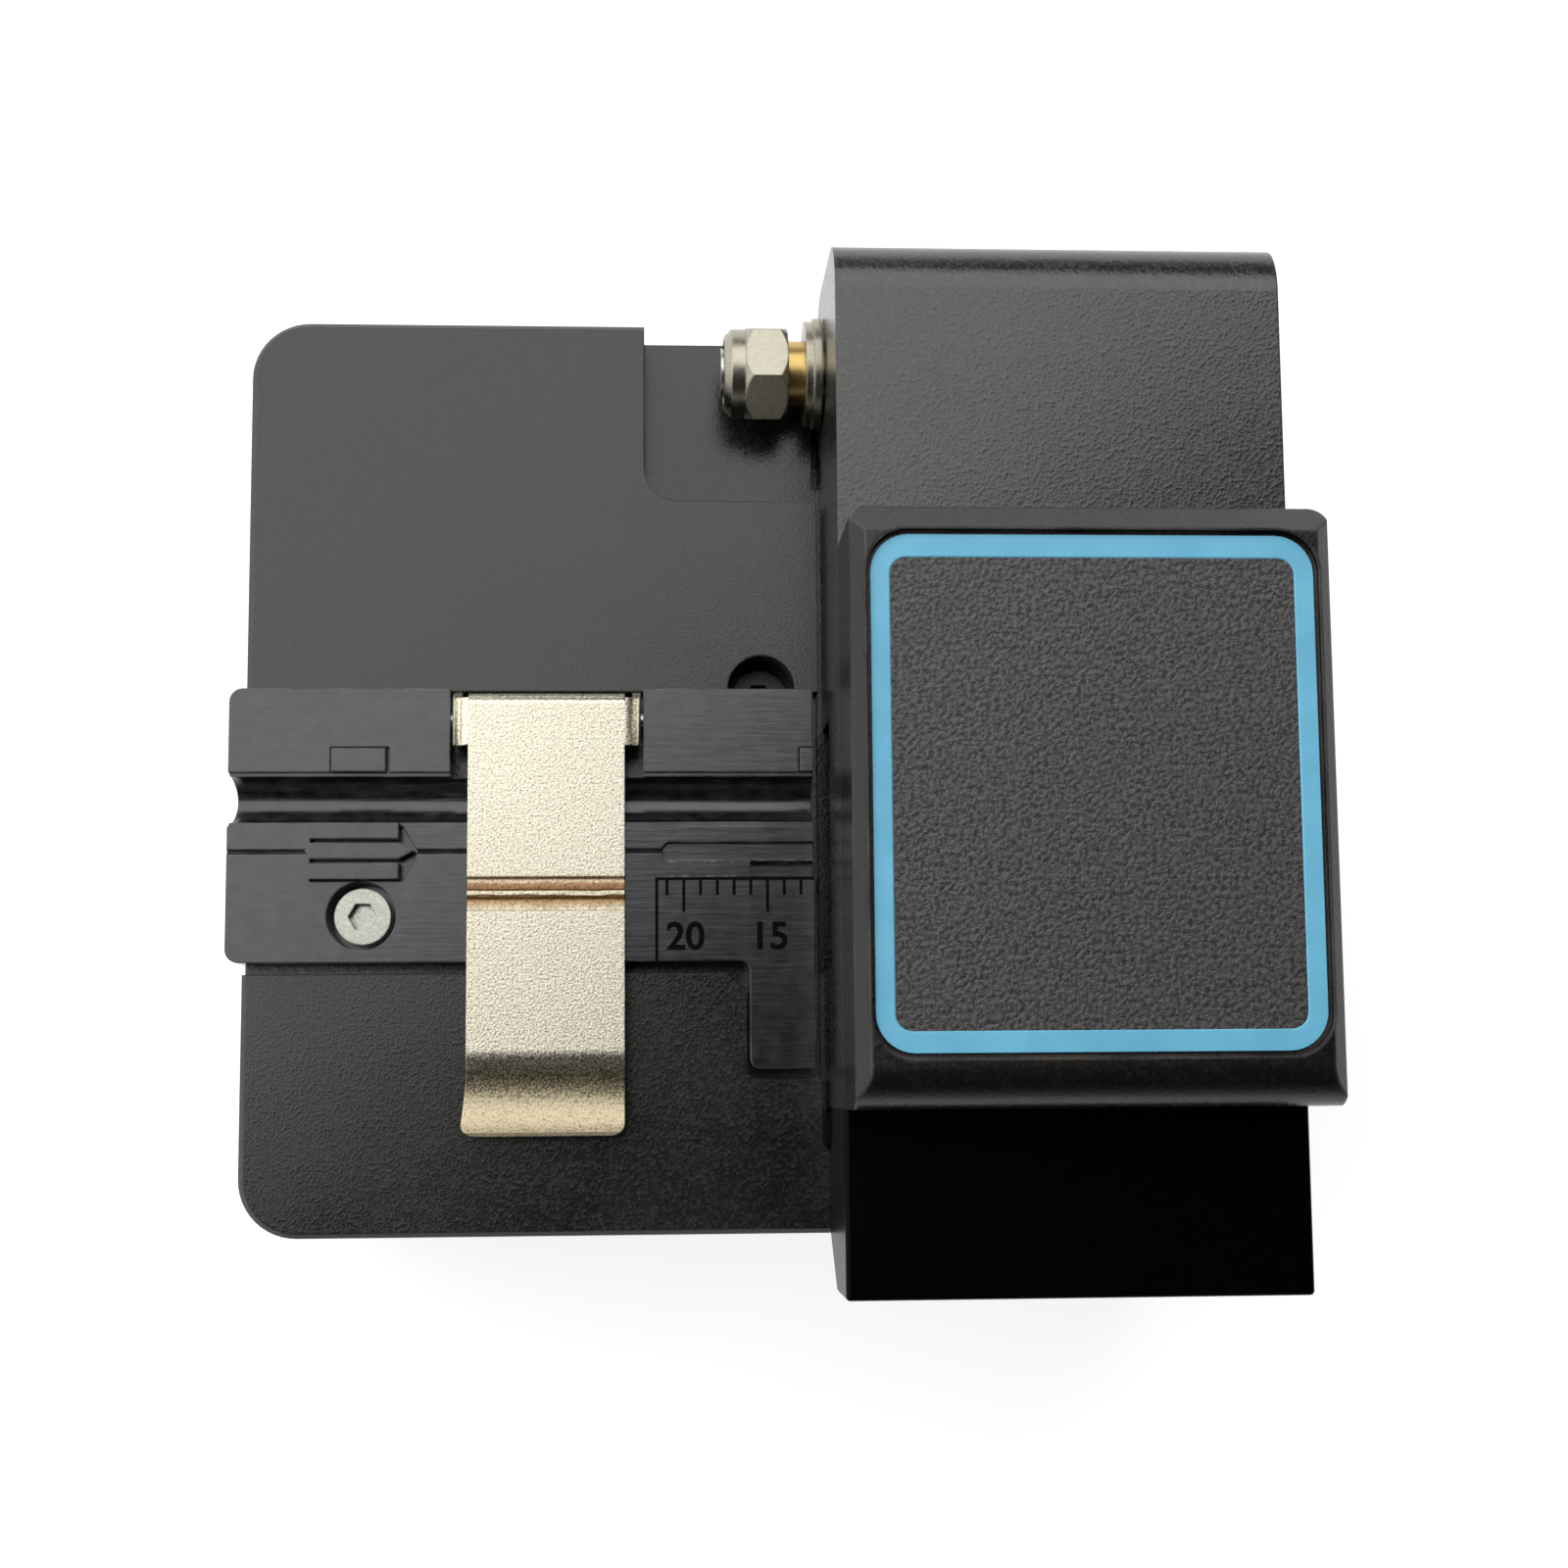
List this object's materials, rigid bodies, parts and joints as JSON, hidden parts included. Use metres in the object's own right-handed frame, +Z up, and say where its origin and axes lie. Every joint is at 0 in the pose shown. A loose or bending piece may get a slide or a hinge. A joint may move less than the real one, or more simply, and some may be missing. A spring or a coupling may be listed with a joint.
{
  "type": "fibre cleaver",
  "caption": "Bench-top optical fibre cleaver: fibre guide plate with a sheet clip on the left, hinged pressing lever on the right over a sliding blade wheel.",
  "frame": {"origin": "centre of the whole footprint, on the surface that the rubber feet stand on", "axes": "+X from the guide plate towards the lever, +Y to the hinge at the back, +Z up"},
  "size_m": [0.062, 0.061, 0.0449],
  "materials": {
    "anodised": "black anodised over fine bead blasting, satin",
    "anodised_arm": "black anodised over bead blasting, satin with a fine sparkle",
    "black_oxide": "blackened steel, satin",
    "blade_carbide": "ground tungsten carbide, lapped edge",
    "brass": "turned brass",
    "carriage_alloy": "clear anodised aluminium",
    "clamp_rubber": "smooth dark nitrile rubber",
    "clip_plating": "pale gold plating over sheet steel, lightly speckled",
    "gloss_black": "deep black polished plastic",
    "guide_plastic": "moulded dark slate plastic, satin",
    "label_face": "leather-grained dark face with a sky blue border",
    "nickel": "bright nickel plating",
    "nylon": "natural nylon",
    "pad_plastic": "fine textured black plastic",
    "rail_steel": "ground hardened steel",
    "rubber": "matt black rubber",
    "spring_steel": "music wire",
    "steel": "turned steel, satin"
  },
  "bodies": {
    "base": {"base_block": "anodised", "base_plate": "anodised", "base_plate_screws": "steel", "rubber_feet": "rubber", "guide_plate": "guide_plastic", "clip_magnet": "nickel", "clip_pin": "steel", "guide_plate_screw": "nickel", "plate_stop_screw": "black_oxide", "base_magnet": "nickel", "hinge_bolt": "steel", "hinge_nut": "nickel", "nut_nylon_ring": "nylon", "hinge_sleeve": "brass", "hinge_bush": "brass", "hinge_washers": "steel", "slide_rail": "rail_steel", "rail_screws": "steel", "lower_clamp_left": "steel", "lower_clamp_right": "steel", "lower_pads": "clamp_rubber"},
    "lever": {"lever_arm": "anodised_arm", "nose_block": "gloss_black", "press_pad": "pad_plastic", "label_plate": "label_face", "pad_screws": "steel", "lever_magnet": "nickel", "clamp_guide_pins": "steel", "clamp_springs": "spring_steel", "anvil_guide": "brass", "anvil_spring": "spring_steel", "nose_screws": "steel"},
    "clip": {"fibre_clip": "clip_plating"},
    "slider": {"bearing_block": "rail_steel", "carriage": "carriage_alloy", "blade_shaft": "steel", "blade_lock_screw": "steel", "slider_grip": "gloss_black", "grip_screws": "steel", "blade_height_screw": "steel"},
    "blade": {"blade_wheel": "blade_carbide"},
    "upper_clamp": {"upper_clamp_carrier": "steel", "upper_pads": "clamp_rubber"},
    "anvil": {"anvil": "clamp_rubber"}
  },
  "joints": [
    {"name": "lever_hinge", "type": "hinge", "parent": "base", "child": "lever", "pos_m": [0, 0.02517, 0.026], "axis": [-1, 0, 0], "range_deg": [0, 65]},
    {"name": "clip_hinge", "type": "hinge", "parent": "base", "child": "clip", "pos_m": [-0.01215, 0.00328, 0.0268], "axis": [-1, 0, 0], "range_deg": [0, 95]},
    {"name": "slider_slide", "type": "slide", "parent": "base", "child": "slider", "axis": [0, -1, 0], "range_m": [0, 0.018]},
    {"name": "blade_index", "type": "hinge", "parent": "slider", "child": "blade", "pos_m": [0.016, 0.00607, 0.01865], "axis": [1, 0, 0], "continuous": true},
    {"name": "clamp_float", "type": "slide", "parent": "lever", "child": "upper_clamp", "axis": [0, 0, 1], "range_m": [0, 0.0008], "stiffness_N_per_m": 1500, "springref_m": -0.0008, "deforming": ["clamp_springs"]},
    {"name": "anvil_float", "type": "slide", "parent": "lever", "child": "anvil", "axis": [0, 0, 1], "range_m": [0, 0.001], "stiffness_N_per_m": 800, "springref_m": -0.001, "deforming": ["anvil_spring"]}
  ]
}
